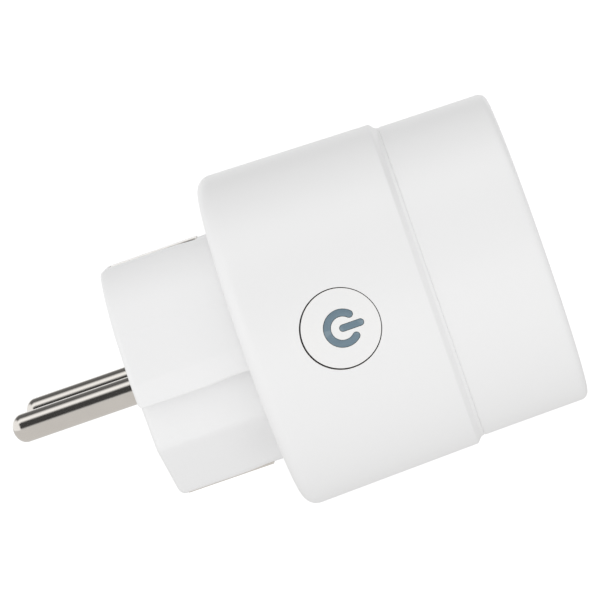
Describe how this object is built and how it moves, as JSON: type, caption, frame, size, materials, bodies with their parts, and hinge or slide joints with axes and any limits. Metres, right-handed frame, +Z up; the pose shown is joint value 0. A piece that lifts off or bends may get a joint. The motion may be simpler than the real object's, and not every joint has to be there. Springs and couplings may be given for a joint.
{
  "type": "plug-in power meter",
  "caption": "Round plug-in power meter with a side push button, a recessed earthed socket on its front and a two-pin earthed plug on its back.",
  "frame": {"origin": "centre of the plug's face, where the pins leave it", "axes": "+Y along the pins towards the wall, +Z up with the pins level, the socket opens towards -Y, the button is on the -X side"},
  "size_m": [0.0506, 0.08, 0.0506],
  "materials": {
    "white_gloss": "moulded, glossy, very faint orange peel",
    "white_satin": "moulded, satin",
    "grey_light_guide": "blue-grey tinted, polished",
    "nickel": "nickel plated, polished with fine turning marks",
    "brass": "stamped",
    "spring_steel": "rolled strip",
    "steel": "zinc plated",
    "grey_plastic": "glass-filled, matt",
    "green_board": "solder mask over glass cloth",
    "black_plastic": "moulded case",
    "blue_sleeve": "shrink sleeve or dipped coat",
    "yellow_film": "boxed film capacitor",
    "copper": "copper alloy",
    "tan_ceramic": "coated ceramic",
    "milky_lens": "milky lens",
    "green_wire": "green and yellow insulation"
  },
  "bodies": {
    "shell": {"main_housing": "white_gloss", "front_cover": "white_gloss", "plug_insert": "white_gloss", "line_pin": "nickel", "neutral_pin": "nickel", "plug_earth_clip_top": "nickel", "plug_earth_clip_bottom": "nickel", "earth_link": "brass", "line_busbar": "brass", "neutral_busbar": "brass", "line_contact": "brass", "neutral_contact": "brass", "socket_earth_bow": "spring_steel", "shutter_spring": "spring_steel", "housing_screw_1": "steel", "housing_screw_2": "steel", "contact_carrier": "grey_plastic", "power_board": "green_board", "radio_board": "green_board", "button_board": "green_board", "relay": "black_plastic", "metering_chip": "black_plastic", "switch_body": "black_plastic", "electrolytic_capacitor": "blue_sleeve", "varistor": "blue_sleeve", "film_capacitor": "yellow_film", "choke": "copper", "shunt_resistor": "copper", "fuse_resistor": "tan_ceramic", "radio_shield": "steel", "status_light": "milky_lens", "earth_wire": "green_wire"},
    "button": {"power_button": "white_satin", "icon_light_guide": "grey_light_guide", "switch_plunger": "grey_plastic"},
    "shutter": {"child_shutter": "grey_plastic"}
  },
  "joints": [
    {"name": "button_press", "type": "slide", "parent": "shell", "child": "button", "axis": [1, 0, 0], "range_m": [0, 0.0004], "stiffness_N_per_m": 2000, "springref_m": -0.0002},
    {"name": "shutter_turn", "type": "hinge", "parent": "shell", "child": "shutter", "pos_m": [0, -0.04, 0], "axis": [0, 1, 0], "range_deg": [0, 42], "stiffness_Nm_per_rad": 0.004}
  ]
}
